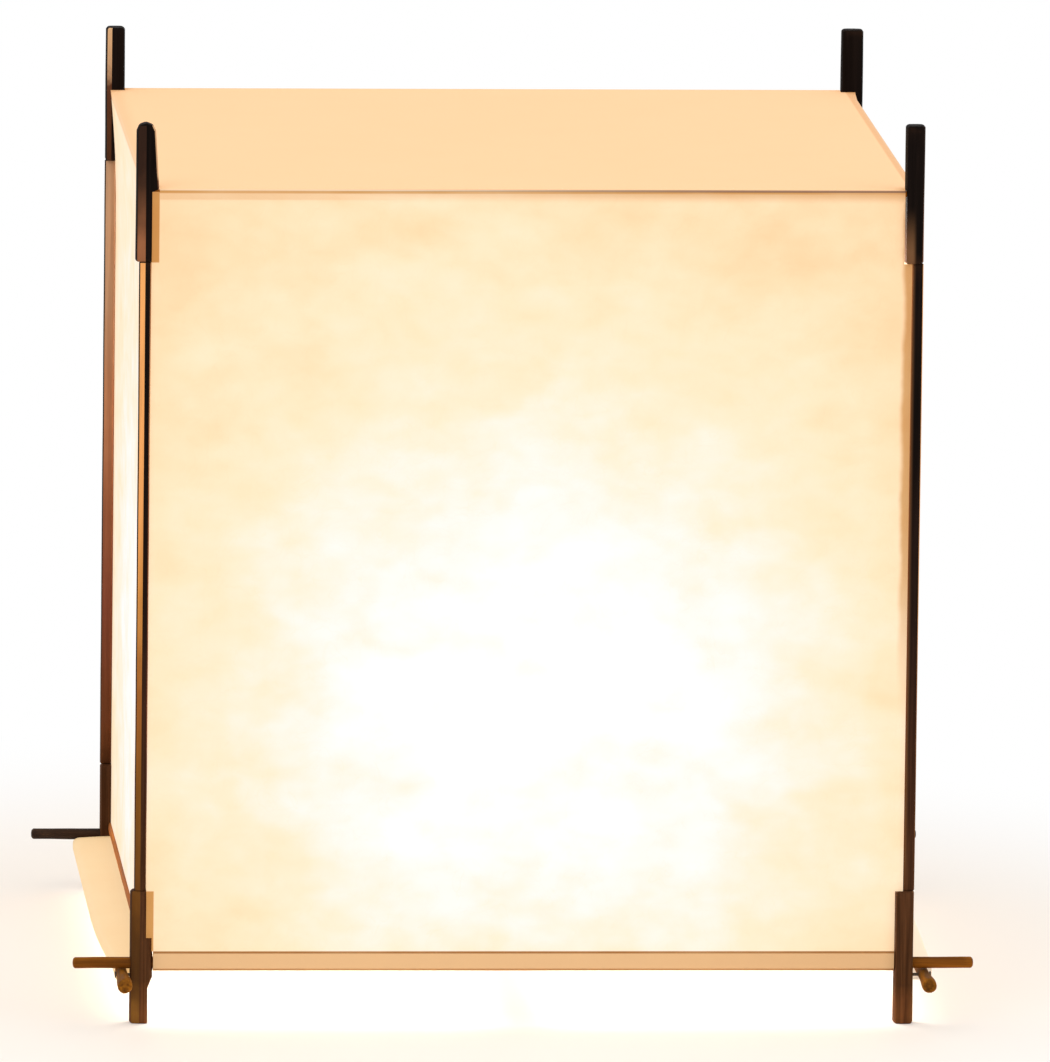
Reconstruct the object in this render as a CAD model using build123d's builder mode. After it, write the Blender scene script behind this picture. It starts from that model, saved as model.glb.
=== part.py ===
from build123d import *
import os

# Andon floor lamp: a cube of translucent paper on four slender posts.
# Millimetres, +Z up, front faces -Y, origin on the floor under the middle of the lamp.

# ---- Driving dimensions ----
post_spacing = 400.0  # between post centres, both ways
post_side = 6.5  # square section of a slender post
lamp_height = 471.0
post_rise = 33.5  # top blocks above the top paper

foot_length = 70.0
post_seat = 14.5  # bottom of a post above the cross sticks' centres
top_block_length = 72.0
cheek_outer = 1.9  # block wall beside the post, away from the paper
cheek_inner = 3.8  # block wall beside the post, behind the paper
web = 4.0  # block wall behind the post
block_chamfer = 0.6

paper = 0.4
side_recess = 6.5  # left and right papers behind the posts' outer faces
top_overhang = 3.75  # top paper beyond the left and right papers
top_flap = 8.0  # margin of a side paper folded under the top
hem_height = 10.4
hem_clearance = 0.3  # between a stick and the paper around it

cross_stick_diameter = 6.0
cross_stick_height = 31.5  # centre above the floor
cross_stick_inset = 1.8  # centre inwards of the post centres
front_stick_overhang = 34.5  # beyond the post centres
back_stick_overhang = 40.0
stick_fit = 0.05

side_stick_diameter = 6.0
side_stick_outset = 8.8  # centre outwards of the post centres
side_stick_overhang = 34.5
stick_crossing_gap = 0.3
stick_round = 1.2

rail_height = 10.0
rail_thickness = 1.5
rail_lift = 5.8  # foot of the rail's paper above the side stick's centre
side_hem_outset = 6.2  # hem beyond the side stick's centre
side_hem_drop = 3.9  # hem below the side stick's centre
side_hem_shoulder = 3.6  # hem above the side stick's centre, at its outer edge

top_rod_diameter = 3.0
top_rod_seat = 3.0  # depth of a rod's end in its top block

pin_diameter = 1.6
pin_depth = 4.5  # into a foot
pin_head_diameter = 3.2
pin_head_height = 0.8
pin_fit = 0.02

bar_width = 22.0
bar_thickness = 6.0
bar_saddle_length = 12.0
bar_paper_gap = 0.6
bar_screw_diameter = 3.0
bar_screw_depth = 3.2  # into a cross stick
bar_screw_head_diameter = 5.6
bar_screw_head_height = 1.6
bar_screw_clearance = 0.1

nipple_diameter = 10.0
nipple_bore = 7.0
nipple_below_bar = 8.0
nipple_in_holder = 6.0
nipple_clearance = 0.1
nut_flats = 14.0
nut_thickness = 3.5

holder_diameter = 40.0
holder_neck_diameter = 28.0
holder_wall = 2.6
holder_cap_height = 16.0
holder_shell_height = 36.0
holder_lip = 5.0
insert_thickness = 6.0
insert_clearance = 0.2
sleeve_wall = 0.6
sleeve_height = 24.0

bulb_cap_diameter = 26.4
bulb_cap_length = 25.0
bulb_cap_wall = 0.5
bulb_running_fit = 0.08
bulb_tip_gap = 3.5  # tip above the contact plate
bulb_tip_diameter = 9.0
bulb_tip_height = 1.2
bulb_insulator_height = 2.6
contact_gap = 0.3
contact_width = 6.0
contact_sheet = 0.5
bulb_glass_diameter = 60.0
bulb_glass_height = 80.0  # above the screw cap
bulb_neck_diameter = 25.0
bulb_neck_overlap = 3.0
bulb_glass_wall = 1.0
stem_diameter = 9.0
stem_height = 34.0
filament_diameter = 2.0
filament_length = 32.0
filament_circle = 15.0
filament_count = 4
filament_seat = 14.0  # disc above the screw cap
filament_disc = 1.0
stem_clearance = 0.2

# ---- Places worked out from them ----
shade_top = lamp_height - post_rise  # outside of the top paper
foot_solid = cross_stick_height + post_seat  # height of a foot below its post
half = post_spacing / 2
post_half = post_side / 2
paper_inner = half + post_half
paper_outer = paper_inner + paper
side_inner = paper_inner - side_recess
side_outer = side_inner + paper
block_left = -half - post_half - cheek_outer
block_right = -half + post_half + cheek_inner
block_front = -half - post_half
block_back = -half + post_half + web
top_block_bottom = lamp_height - top_block_length

cross_radius = cross_stick_diameter / 2
cross_y = half - cross_stick_inset
hem_bottom = cross_stick_height - cross_radius - hem_clearance - paper
hem_top = hem_bottom + hem_height + paper
hem_back = cross_y - cross_radius - hem_clearance - paper

side_radius = side_stick_diameter / 2
side_x = half + side_stick_outset
side_z = cross_stick_height - cross_radius - stick_crossing_gap - side_radius
rail_bottom = side_z + rail_lift

bar_bottom = hem_top
bar_top = bar_bottom + bar_thickness
bar_end = paper_inner - bar_paper_gap

holder_base = bar_top
shell_base = holder_base + holder_cap_height
shell_top = shell_base + holder_shell_height
plate_top = shell_base + insert_thickness
sleeve_radius = bulb_cap_diameter / 2 + bulb_running_fit
bulb_base = plate_top + bulb_tip_gap
cap_base = bulb_base + bulb_insulator_height
cap_top = cap_base + bulb_cap_length
bulb_top = cap_top + bulb_glass_height

corners = ("front_left", "front_right", "back_right", "back_left")
sides = (("front", -1), ("back", 1))
flanks = (("left", -1), ("right", 1))

os.makedirs("parts", exist_ok=True)


def save(part, label):
    """Names a finished piece and writes it."""
    part.label = label
    export_step(part, f"parts/{label}.step")


def corner_plane(turn, height):
    """The level at a height, turned so that its front left corner is the corner numbered turn."""
    return Plane.XY.offset(height).rotated((0, 0, 90 * turn))


def face_plane(turn):
    """The inner face of the paper on the side numbered turn: 0 front, 1 right, 2 back, 3 left."""
    along = Vector(1, 0, 0).rotate(Axis.Z, 90 * turn)
    outward = Vector(0, -1, 0).rotate(Axis.Z, 90 * turn)
    inner = side_inner if turn in (1, 3) else paper_inner
    return Plane(origin=outward * inner, x_dir=along, z_dir=outward)


def block_outline(plane):
    """The outline of a foot or a top block at the plane's front left corner."""
    with BuildSketch(plane) as outline:
        with Locations((block_left, block_front)):
            Rectangle(block_right - block_left, block_back - block_front, align=(Align.MIN, Align.MIN))
    return outline.sketch


def post_outline(plane):
    """The square of a post at the plane's front left corner."""
    with BuildSketch(plane) as outline:
        with Locations((-half, -half)):
            Rectangle(post_side, post_side)
    return outline.sketch


def paper_face(turn, low, high):
    """One upright side of the paper, cut back where the feet and top blocks stand."""
    left = -half + post_half
    right = half - post_half
    block_edge = -block_back
    with BuildSketch(face_plane(turn)) as outline:
        with Locations((left, low)):
            Rectangle(right - left, high - low, align=(Align.MIN, Align.MIN))
        # the blocks on the right stand in the way of this side
        with Locations((block_edge, low)):
            Rectangle(half, foot_length - low, align=(Align.MIN, Align.MIN), mode=Mode.SUBTRACT)
        with Locations((block_edge, top_block_bottom)):
            Rectangle(half, lamp_height, align=(Align.MIN, Align.MIN), mode=Mode.SUBTRACT)
        # the hem starts beside the foot on the left
        with Locations((block_right, low)):
            Rectangle(half, hem_top - low, align=(Align.MAX, Align.MIN), mode=Mode.SUBTRACT)
        if turn in (1, 3):
            # a recessed side also stops at the blocks on the left
            with Locations((block_right, low)):
                Rectangle(half, foot_length - low, align=(Align.MAX, Align.MIN), mode=Mode.SUBTRACT)
            with Locations((block_right, top_block_bottom)):
                Rectangle(half, lamp_height, align=(Align.MAX, Align.MIN), mode=Mode.SUBTRACT)
    return outline.sketch


def span(side):
    """Where a hem starts and ends along X or Y, between the feet of one side."""
    return (block_right, -block_back) if side < 0 else (block_back, -block_right)


# ---- Corner posts, feet and top blocks ----
for turn, corner in enumerate(corners):
    with BuildPart() as post:
        extrude(post_outline(corner_plane(turn, foot_solid)), amount=shade_top - foot_solid)
    save(post.part, f"{corner}_post")

    with BuildPart() as foot:
        extrude(block_outline(corner_plane(turn, 0)), amount=foot_length)
        chamfer(foot.edges().group_by(Axis.Z)[-1], block_chamfer)
        extrude(post_outline(corner_plane(turn, foot_solid)), amount=foot_length, mode=Mode.SUBTRACT)
        for name, side in sides:
            # the cross stick goes right through
            with Locations((0, side * cross_y, cross_stick_height)):
                Cylinder(cross_radius + stick_fit, 2 * post_spacing, rotation=(0, 90, 0), mode=Mode.SUBTRACT)
            for flank, hand in flanks:
                # the pin of the side stick ends in the foot's outer side
                with Locations((hand * (side_x - side_radius), side * cross_y, side_z)):
                    Cylinder(
                        pin_diameter / 2 + pin_fit,
                        2 * (side_stick_outset - side_radius + pin_depth),
                        rotation=(0, 90, 0),
                        mode=Mode.SUBTRACT,
                    )
    save(foot.part, f"{corner}_foot")

    with BuildPart() as top_block:
        extrude(block_outline(corner_plane(turn, top_block_bottom)), amount=top_block_length)
        chamfer(top_block.edges().group_by(Axis.Z)[0], block_chamfer)
        chamfer(top_block.edges().group_by(Axis.Z)[-1], block_chamfer)
        slot_height = shade_top - top_block_bottom
        extrude(post_outline(corner_plane(turn, top_block_bottom)), amount=slot_height, mode=Mode.SUBTRACT)
        for name, side in sides:
            # blind seat of the top rod
            rod_y = side * (paper_inner - top_rod_diameter / 2 - hem_clearance)
            rod_z = shade_top - paper - top_rod_diameter / 2 - hem_clearance
            rod_half = -block_back + top_rod_seat
            with Locations((0, rod_y, rod_z)):
                Cylinder(
                    top_rod_diameter / 2 + stick_fit,
                    2 * rod_half,
                    rotation=(0, 90, 0),
                    mode=Mode.SUBTRACT,
                )
    save(top_block.part, f"{corner}_top_block")

# ---- Cross sticks, in the front and back hems and through the feet ----
for name, side in sides:
    overhang = front_stick_overhang if side < 0 else back_stick_overhang
    with BuildPart() as cross_stick:
        with Locations((0, side * cross_y, cross_stick_height)):
            Cylinder(cross_radius, post_spacing + 2 * overhang, rotation=(0, 90, 0))
        fillet(cross_stick.edges().filter_by(GeomType.CIRCLE), stick_round)
        # pilot hole of the crossbar's screw
        with Locations((0, side * cross_y, cross_stick_height + cross_radius)):
            Cylinder(bar_screw_diameter / 2 + pin_fit, 2 * bar_screw_depth, mode=Mode.SUBTRACT)
    save(cross_stick.part, f"{name}_cross_stick")

# ---- Side sticks, under the cross sticks and outside the feet ----
for flank, hand in flanks:
    with BuildPart() as side_stick:
        with Locations((hand * side_x, 0, side_z)):
            Cylinder(side_radius, post_spacing + 2 * side_stick_overhang, rotation=(90, 0, 0))
        fillet(side_stick.edges().filter_by(GeomType.CIRCLE), stick_round)
        with Locations((hand * side_x, -cross_y, side_z), (hand * side_x, cross_y, side_z)):
            Cylinder(
                pin_diameter / 2 + pin_fit, 2 * side_stick_diameter, rotation=(0, 90, 0), mode=Mode.SUBTRACT
            )
    save(side_stick.part, f"{flank}_side_stick")

# ---- Pins through the side sticks into the feet ----
with BuildPart() as stick_pins:
    for flank, hand in flanks:
        outward = Plane.YZ.offset(side_x + side_radius)
        if hand < 0:
            outward = Plane(origin=(-side_x - side_radius, 0, 0), x_dir=(0, -1, 0), z_dir=(-1, 0, 0))
        pin_tip = side_stick_diameter + side_stick_outset - side_radius + pin_depth - side_radius
        with BuildSketch(outward) as shank:
            with Locations((-cross_y, side_z), (cross_y, side_z)):
                Circle(pin_diameter / 2)
        extrude(shank.sketch, amount=-pin_tip)
        with BuildSketch(outward) as heads:
            with Locations((-cross_y, side_z), (cross_y, side_z)):
                Circle(pin_head_diameter / 2)
        extrude(heads.sketch, amount=pin_head_height)
save(stick_pins.part, "stick_pins")

# ---- Top rods, under the folds of the top paper ----
for name, side in sides:
    with BuildPart() as top_rod:
        rod_y = side * (paper_inner - top_rod_diameter / 2 - hem_clearance)
        rod_z = shade_top - paper - top_rod_diameter / 2 - hem_clearance
        with Locations((0, rod_y, rod_z)):
            Cylinder(top_rod_diameter / 2, 2 * (-block_back + top_rod_seat), rotation=(0, 90, 0))
    save(top_rod.part, f"{name}_top_rod")

# ---- Front, top and back paper, one piece with a hem round each cross stick ----
with BuildPart() as main_paper:
    extrude(paper_face(0, hem_bottom, shade_top), amount=paper)
    extrude(paper_face(2, hem_bottom, shade_top), amount=paper)
    with BuildSketch(Plane.XY.offset(shade_top - paper)) as top_outline:
        Rectangle(2 * (side_outer + top_overhang), 2 * paper_outer)
    extrude(top_outline.sketch, amount=paper)
    for turn, corner in enumerate(corners):
        with BuildSketch(corner_plane(turn, shade_top - paper)) as corner_cut:
            with Locations((block_right, block_back)):
                Rectangle(2 * web + post_spacing, 2 * web + post_spacing, align=(Align.MAX, Align.MAX))
        extrude(corner_cut.sketch & top_outline.sketch, amount=paper, mode=Mode.SUBTRACT)
    extrude(paper_face(0, shade_top - 2 * paper, shade_top), amount=paper)
    extrude(paper_face(2, shade_top - 2 * paper, shade_top), amount=paper)
    for name, side in sides:
        start, end = span(side)
        with BuildSketch(Plane.YZ.offset(start)) as hem:
            with Locations((side * (paper_outer + hem_back) / 2, (hem_bottom + hem_top) / 2)):
                Rectangle(paper_outer - hem_back, hem_top - hem_bottom)
                Rectangle(
                    paper_outer - hem_back - 2 * paper, hem_top - hem_bottom - 2 * paper, mode=Mode.SUBTRACT
                )
        extrude(hem.sketch, amount=end - start)
        # the crossbar's saddle sits in a gap of the hem, behind the paper
        with Locations((0, side * (paper_inner - bar_width), cross_stick_height)):
            Box(
                bar_width + 2 * bar_paper_gap,
                2 * bar_width,
                hem_height,
                align=(Align.CENTER, Align.CENTER, Align.MIN),
                mode=Mode.SUBTRACT,
            )
save(main_paper.part, "front_top_back_paper")

# ---- Side papers, each with a hem turned out round its side stick ----
for turn, flank, hand in ((1, "right", 1), (3, "left", -1)):
    hem_low = side_z - side_hem_drop
    with BuildPart() as side_paper:
        extrude(paper_face(turn, hem_low, shade_top - paper), amount=paper)
        start, end = span(-hand)
        with BuildSketch(Plane.XZ.offset(-start)) as side_hem:
            with BuildLine():
                Polyline(
                    (hand * side_inner, hem_low),
                    (hand * side_inner, rail_bottom),
                    (hand * side_outer, rail_bottom),
                    (hand * (side_x + side_hem_outset), side_z + side_hem_shoulder),
                    (hand * (side_x + side_hem_outset), hem_low),
                    close=True,
                )
            make_face()
            offset(amount=-paper, kind=Kind.INTERSECTION, mode=Mode.SUBTRACT)
        extrude(side_hem.sketch, amount=-(end - start))
        # margin folded under the top paper
        with Locations((hand * side_inner, 0, shade_top - 1.5 * paper)):
            Box(
                top_flap,
                2 * (half - bar_width),
                paper,
                align=(Align.MAX if hand > 0 else Align.MIN, Align.CENTER, Align.CENTER),
            )
    save(side_paper.part, f"{flank}_paper")

    # rail on the foot of the side paper, between the feet
    with BuildPart() as rail:
        with BuildSketch(Plane.XY.offset(rail_bottom + paper)) as rail_outline:
            with Locations((hand * (side_outer + rail_thickness / 2), (start + end) / 2)):
                Rectangle(rail_thickness, end - start)
        extrude(rail_outline.sketch, amount=rail_height)
    save(rail.part, f"{flank}_rail")

# ---- Crossbar on the two cross sticks ----
with BuildPart() as crossbar:
    with Locations((0, 0, bar_bottom)):
        Box(bar_width, 2 * bar_end, bar_thickness, align=(Align.CENTER, Align.CENTER, Align.MIN))
    for name, side in sides:
        with Locations((0, side * (bar_end - bar_saddle_length / 2), cross_stick_height + bar_paper_gap)):
            Box(
                bar_width,
                bar_saddle_length,
                bar_bottom - cross_stick_height - bar_paper_gap,
                align=(Align.CENTER, Align.CENTER, Align.MIN),
            )
        with Locations((0, side * cross_y, cross_stick_height)):
            Cylinder(cross_radius + stick_fit, 2 * bar_width, rotation=(0, 90, 0), mode=Mode.SUBTRACT)
        with Locations((0, side * cross_y, bar_bottom)):
            Cylinder(bar_screw_diameter / 2 + bar_screw_clearance, 4 * bar_thickness, mode=Mode.SUBTRACT)
    with Locations((0, 0, bar_bottom)):
        Cylinder(nipple_diameter / 2 + nipple_clearance, 4 * bar_thickness, mode=Mode.SUBTRACT)
save(crossbar.part, "crossbar")

with BuildPart() as bar_screws:
    screw_tip = cross_stick_height + cross_radius - bar_screw_depth
    for name, side in sides:
        with BuildSketch(Plane.XY.offset(screw_tip)) as shank:
            with Locations((0, side * cross_y)):
                Circle(bar_screw_diameter / 2)
        extrude(shank.sketch, amount=bar_top - screw_tip)
        with BuildSketch(Plane.XY.offset(bar_top)) as head:
            with Locations((0, side * cross_y)):
                Circle(bar_screw_head_diameter / 2)
        extrude(head.sketch, amount=bar_screw_head_height)
save(bar_screws.part, "crossbar_screws")

# ---- Lampholder ----
with BuildPart() as nipple:
    with BuildSketch(Plane.XY.offset(bar_bottom - nipple_below_bar)):
        Circle(nipple_diameter / 2)
        Circle(nipple_bore / 2, mode=Mode.SUBTRACT)
    extrude(amount=nipple_below_bar + bar_thickness + nipple_in_holder)
save(nipple.part, "threaded_nipple")

with BuildPart() as nut:
    with BuildSketch(Plane.XY.offset(bar_bottom - nut_thickness)):
        RegularPolygon(nut_flats / 2, 6, major_radius=False)
        Circle(nipple_diameter / 2 + stick_fit, mode=Mode.SUBTRACT)
    extrude(amount=nut_thickness)
save(nut.part, "nipple_nut")

with BuildPart() as holder_cap:
    outer = holder_diameter / 2
    neck = holder_neck_diameter / 2
    bore = nipple_diameter / 2 + stick_fit
    with BuildSketch(Plane.XZ):
        with BuildLine():
            Polyline(
                (bore, holder_base),
                (neck, holder_base),
                (neck, holder_base + holder_wall),
                (outer, shell_base - holder_wall),
                (outer, shell_base),
                (outer - holder_wall, shell_base),
                (outer - holder_wall, shell_base - holder_wall),
                (neck - holder_wall, holder_base + 2 * holder_wall),
                (bore, holder_base + 2 * holder_wall),
                close=True,
            )
        make_face()
    revolve(axis=Axis.Z)
save(holder_cap.part, "lampholder_cap")

with BuildPart() as holder_shell:
    lip_radius = sleeve_radius + sleeve_wall + insert_clearance
    with BuildSketch(Plane.XY.offset(shell_base)):
        Circle(holder_diameter / 2)
        Circle(holder_diameter / 2 - holder_wall, mode=Mode.SUBTRACT)
    extrude(amount=holder_shell_height)
    with BuildSketch(Plane.XY.offset(shell_top - holder_lip)):
        Circle(holder_diameter / 2 - holder_wall / 2)
        Circle(lip_radius, mode=Mode.SUBTRACT)
    extrude(amount=holder_lip)
    fillet(holder_shell.edges().group_by(Axis.Z)[-1].sort_by(SortBy.RADIUS)[-1], holder_wall / 2)
save(holder_shell.part, "lampholder_shell")

with BuildPart() as contact_plate:
    with BuildSketch(Plane.XY.offset(shell_base)):
        Circle(holder_diameter / 2 - holder_wall - insert_clearance)
    extrude(amount=insert_thickness)
save(contact_plate.part, "contact_plate")

with BuildPart() as sleeve:
    with BuildSketch(Plane.XY.offset(plate_top)):
        Circle(sleeve_radius + sleeve_wall)
        Circle(sleeve_radius, mode=Mode.SUBTRACT)
    extrude(amount=sleeve_height)
save(sleeve.part, "screw_sleeve")

with BuildPart() as contact:
    # a folded strip: foot on the plate, riser, tongue under the bulb's tip
    tongue = bulb_base - contact_gap
    reach = contact_width / 2
    with BuildSketch(Plane.XZ.offset(-contact_width / 2)):
        with BuildLine():
            Polyline(
                (-reach, plate_top),
                (2 * reach, plate_top),
                (2 * reach, tongue),
                (-reach, tongue),
                (-reach, tongue - contact_sheet),
                (2 * reach - contact_sheet, tongue - contact_sheet),
                (2 * reach - contact_sheet, plate_top + contact_sheet),
                (-reach, plate_top + contact_sheet),
                close=True,
            )
        make_face()
    extrude(amount=contact_width)
save(contact.part, "centre_contact")

# ---- Bulb ----
with BuildPart() as tip:
    with BuildSketch(Plane.XY.offset(bulb_base)):
        Circle(bulb_tip_diameter / 2)
    extrude(amount=bulb_tip_height)
save(tip.part, "bulb_tip_contact")

with BuildPart() as insulator:
    with BuildSketch(Plane.XY.offset(bulb_base + bulb_tip_height)):
        Circle(bulb_cap_diameter / 2)
    extrude(amount=bulb_insulator_height - bulb_tip_height)
    chamfer(insulator.edges().group_by(Axis.Z)[0], bulb_tip_height)
save(insulator.part, "bulb_insulator")

with BuildPart() as bulb_cap:
    with BuildSketch(Plane.XY.offset(cap_base)):
        Circle(bulb_cap_diameter / 2)
        Circle(bulb_cap_diameter / 2 - bulb_cap_wall, mode=Mode.SUBTRACT)
    extrude(amount=bulb_cap_length)
save(bulb_cap.part, "bulb_screw_cap")

with BuildPart() as glass:
    glass_radius = bulb_glass_diameter / 2
    glass_neck = bulb_neck_diameter / 2
    glass_base = cap_top - bulb_neck_overlap
    globe_z = bulb_top - glass_radius
    inner_neck = glass_neck - bulb_glass_wall
    inner_radius = glass_radius - bulb_glass_wall
    inner_top = bulb_top - bulb_glass_wall
    shoulder = (globe_z - cap_top) / 2
    with BuildSketch(Plane.XZ):
        with BuildLine():
            Line((inner_neck, glass_base), (glass_neck, glass_base))
            Line((glass_neck, glass_base), (glass_neck, cap_top))
            Bezier(
                (glass_neck, cap_top),
                (glass_neck, cap_top + shoulder),
                (glass_radius, globe_z - shoulder),
                (glass_radius, globe_z),
            )
            CenterArc((0, globe_z), glass_radius, 0, 90)
            Line((0, bulb_top), (0, inner_top))
            CenterArc((0, globe_z), inner_radius, 0, 90)
            Bezier(
                (inner_radius, globe_z),
                (inner_radius, globe_z - shoulder),
                (inner_neck, cap_top + shoulder),
                (inner_neck, cap_top),
            )
            Line((inner_neck, cap_top), (inner_neck, glass_base))
        make_face()
    revolve(axis=Axis.Z)
save(glass.part, "bulb_glass")

with BuildPart() as stem:
    with BuildSketch(Plane.XY.offset(glass_base)):
        Circle(inner_neck - stem_clearance)
    extrude(amount=bulb_neck_overlap)
    with BuildSketch(Plane.XY.offset(cap_top)) as stem_foot:
        Circle(stem_diameter / 2)
    extrude(stem_foot.sketch, amount=stem_height)
    fillet(stem.edges().group_by(Axis.Z)[-1], stem_diameter / 3)
    # the disc that the filaments stand on
    with BuildSketch(Plane.XY.offset(cap_top + filament_seat)) as disc:
        Circle((filament_circle + filament_diameter) / 2)
    extrude(disc.sketch, amount=filament_disc)
save(stem.part, "filament_stem")

with BuildPart() as filaments:
    # straight sticks round the stem
    filament_base = cap_top + filament_seat + filament_disc
    with BuildSketch(Plane.XY.offset(filament_base)) as filament_spots:
        with PolarLocations(filament_circle / 2, filament_count):
            Circle(filament_diameter / 2)
    extrude(filament_spots.sketch, amount=filament_length)
save(filaments.part, "filaments")
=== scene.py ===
"""Andon floor lamp: finish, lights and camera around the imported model. Metres, +Z up, front faces -Y."""

import math

import bpy
from mathutils import Matrix, Vector, noise

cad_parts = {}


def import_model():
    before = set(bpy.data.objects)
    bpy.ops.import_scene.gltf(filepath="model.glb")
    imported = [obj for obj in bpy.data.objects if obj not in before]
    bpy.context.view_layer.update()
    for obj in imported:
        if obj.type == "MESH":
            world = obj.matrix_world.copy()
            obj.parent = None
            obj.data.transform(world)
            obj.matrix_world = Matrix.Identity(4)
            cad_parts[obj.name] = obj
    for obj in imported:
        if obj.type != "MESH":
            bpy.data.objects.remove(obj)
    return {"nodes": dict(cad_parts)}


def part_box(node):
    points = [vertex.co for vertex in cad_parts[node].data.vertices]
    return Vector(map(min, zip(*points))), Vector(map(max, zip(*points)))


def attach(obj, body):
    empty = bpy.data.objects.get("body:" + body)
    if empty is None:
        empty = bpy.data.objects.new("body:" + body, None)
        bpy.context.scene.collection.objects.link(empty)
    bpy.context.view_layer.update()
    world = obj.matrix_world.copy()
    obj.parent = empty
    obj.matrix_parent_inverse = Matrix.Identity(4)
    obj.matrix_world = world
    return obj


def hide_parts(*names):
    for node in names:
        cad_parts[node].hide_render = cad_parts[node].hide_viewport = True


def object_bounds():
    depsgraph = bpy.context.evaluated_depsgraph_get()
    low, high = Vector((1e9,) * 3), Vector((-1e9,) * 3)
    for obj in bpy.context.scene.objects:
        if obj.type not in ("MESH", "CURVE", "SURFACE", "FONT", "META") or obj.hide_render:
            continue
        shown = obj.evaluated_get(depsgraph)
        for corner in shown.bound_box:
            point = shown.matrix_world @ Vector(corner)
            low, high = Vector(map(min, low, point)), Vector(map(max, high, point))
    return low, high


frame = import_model()
cad_low, cad_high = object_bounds()
noise.seed_set(7)  # noise_vector would start from the clock

# ---- Camera: a long lens a little to the left and above ----
CAMERA_AZIMUTH = math.radians(-3.97)
CAMERA_ELEVATION = math.radians(8.72)
CAMERA_ROLL = math.radians(0.68)
CAMERA_DISTANCE = 9.55
FOCAL_PIXELS = 18059.0
IMAGE_WIDTH, IMAGE_HEIGHT = 1050, 1062
LAMP_MIDDLE_PIXEL = (502.8, 516.8)
SENSOR_WIDTH = 36.0

# ---- Sizes of the paper work ----
PAPER = 0.0004
FOLD_RADIUS = 0.0016
HEM_HEIGHT = 0.0104
FOOT_LAP = 0.0009  # lap of the paper over the foot's rounded corner
GRID = 0.006  # size of the paper's mesh

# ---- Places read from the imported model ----
post_low, post_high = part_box("front_left_post")
foot_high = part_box("front_left_foot")[1]
right_foot_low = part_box("front_right_foot")[0]
block_low, block_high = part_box("front_left_top_block")
paper_low, paper_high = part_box("front_top_back_paper")
side_low, side_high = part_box("right_paper")
stick_low, stick_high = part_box("right_side_stick")
cross_low, cross_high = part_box("front_cross_stick")
rail_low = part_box("right_rail")[0]
bar_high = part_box("crossbar")[1]

FACE = -post_low.y + PAPER / 2  # middle of the front and back paper, from the lamp's axis
SIDE_FACE = rail_low.x - PAPER / 2  # middle of the left and right papers
TOP_SIDE = paper_high.x - PAPER  # how far the top reaches over them
TOP = paper_high.z - PAPER / 2
POST_EDGE = -post_high.x  # the paper runs between the posts
LEFT_BLOCK_EDGE = foot_high.x
RIGHT_BLOCK_EDGE = right_foot_low.x
FOOT_TOP = foot_high.z
TOP_BLOCK_BOTTOM = block_low.z
HEM_BOTTOM = paper_low.z + PAPER / 2
HEM_TOP = HEM_BOTTOM + HEM_HEIGHT
BARE_WING = HEM_TOP + 0.007  # the foot shows beside the paper up to here
STICK_LEVEL = (cross_low.z + cross_high.z) / 2
FLANGE = post_high.x - post_low.x - PAPER  # glued margin of the front and back papers on the posts

# ---- Zones in which the shade of paper or wood changes ----
BESIDE_POST = (POST_EDGE - 0.026, POST_EDGE)
CORNER_RISE = (0.08, 0.28)
LOW_PART = (HEM_TOP - 0.01, HEM_TOP + 0.06)
HIGH_PART = (TOP - 0.12, TOP - 0.02)
HEM_CREASE = (HEM_BOTTOM + 0.0007, HEM_BOTTOM + 0.0017)
HEM_SEAM = (HEM_TOP - 0.0015, HEM_TOP - 0.0009)
CHEEK_EDGE = (LEFT_BLOCK_EDGE - 0.0003, LEFT_BLOCK_EDGE + 0.0003)
FOOT_END = (FOOT_TOP - 0.0004, FOOT_TOP + 0.0004)
BLOCK_END = (TOP_BLOCK_BOTTOM - 0.0004, TOP_BLOCK_BOTTOM + 0.0004)
ROD_SHADOW = (TOP - 0.0030, TOP - 0.0016)
ROD_HALO = (TOP - 0.0075, TOP - 0.0016)
ROD_SEAM = (TOP - 0.0060, TOP - 0.0052)
RIM_MARGIN = (TOP_SIDE - 0.0056, TOP_SIDE - 0.0046)
SOFT_RIM = (-TOP_SIDE, -TOP_SIDE + 0.010)
POST_MARGIN = (POST_EDGE - 0.0056, POST_EDGE - 0.0022)
MARGIN_RISE = (0.15, 0.27)
POST_CORNER = (POST_EDGE, POST_EDGE + 0.0024)
CORNER_LIGHT_LOW = (FOOT_TOP, FOOT_TOP + 0.02)
CORNER_LIGHT_HIGH = (0.40, 0.43)


# ---- Mesh helpers ----
def new_piece(name, verts, faces, materials, body="lamp"):
    """A mesh piece that rides on a body; faces are (indices, material index) pairs."""
    mesh = bpy.data.meshes.new(name)
    mesh.from_pydata([tuple(v) for v in verts], [], [f for f, m in faces])
    for polygon, (f, m) in zip(mesh.polygons, faces):
        polygon.material_index = m
        polygon.use_smooth = True
    for material in materials:
        mesh.materials.append(material)
    mesh.update()
    piece = bpy.data.objects.new(name, mesh)
    bpy.context.scene.collection.objects.link(piece)
    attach(piece, body)
    return piece


def modifier(piece, kind, **settings):
    """Adds a modifier with its settings."""
    added = piece.modifiers.new(kind.title(), kind)
    for key, value in settings.items():
        setattr(added, key, value)


def tube_faces(rings, count, flip):
    """Faces of a closed tube made of rings of count points each; flip turns them the other way."""
    faces = []
    for k in range(rings - 1):
        for p in range(count):
            a, b = k * count + p, k * count + (p + 1) % count
            faces.append((a, b, b + count, a + count))
    faces.append(tuple(range(count))[::-1])
    faces.append(tuple(range((rings - 1) * count, rings * count)))
    return [(f[::-1] if flip else f, 0) for f in faces]


def clamped(value):
    """The value held between 0 and 1."""
    return max(0.0, min(1.0, value))


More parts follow.
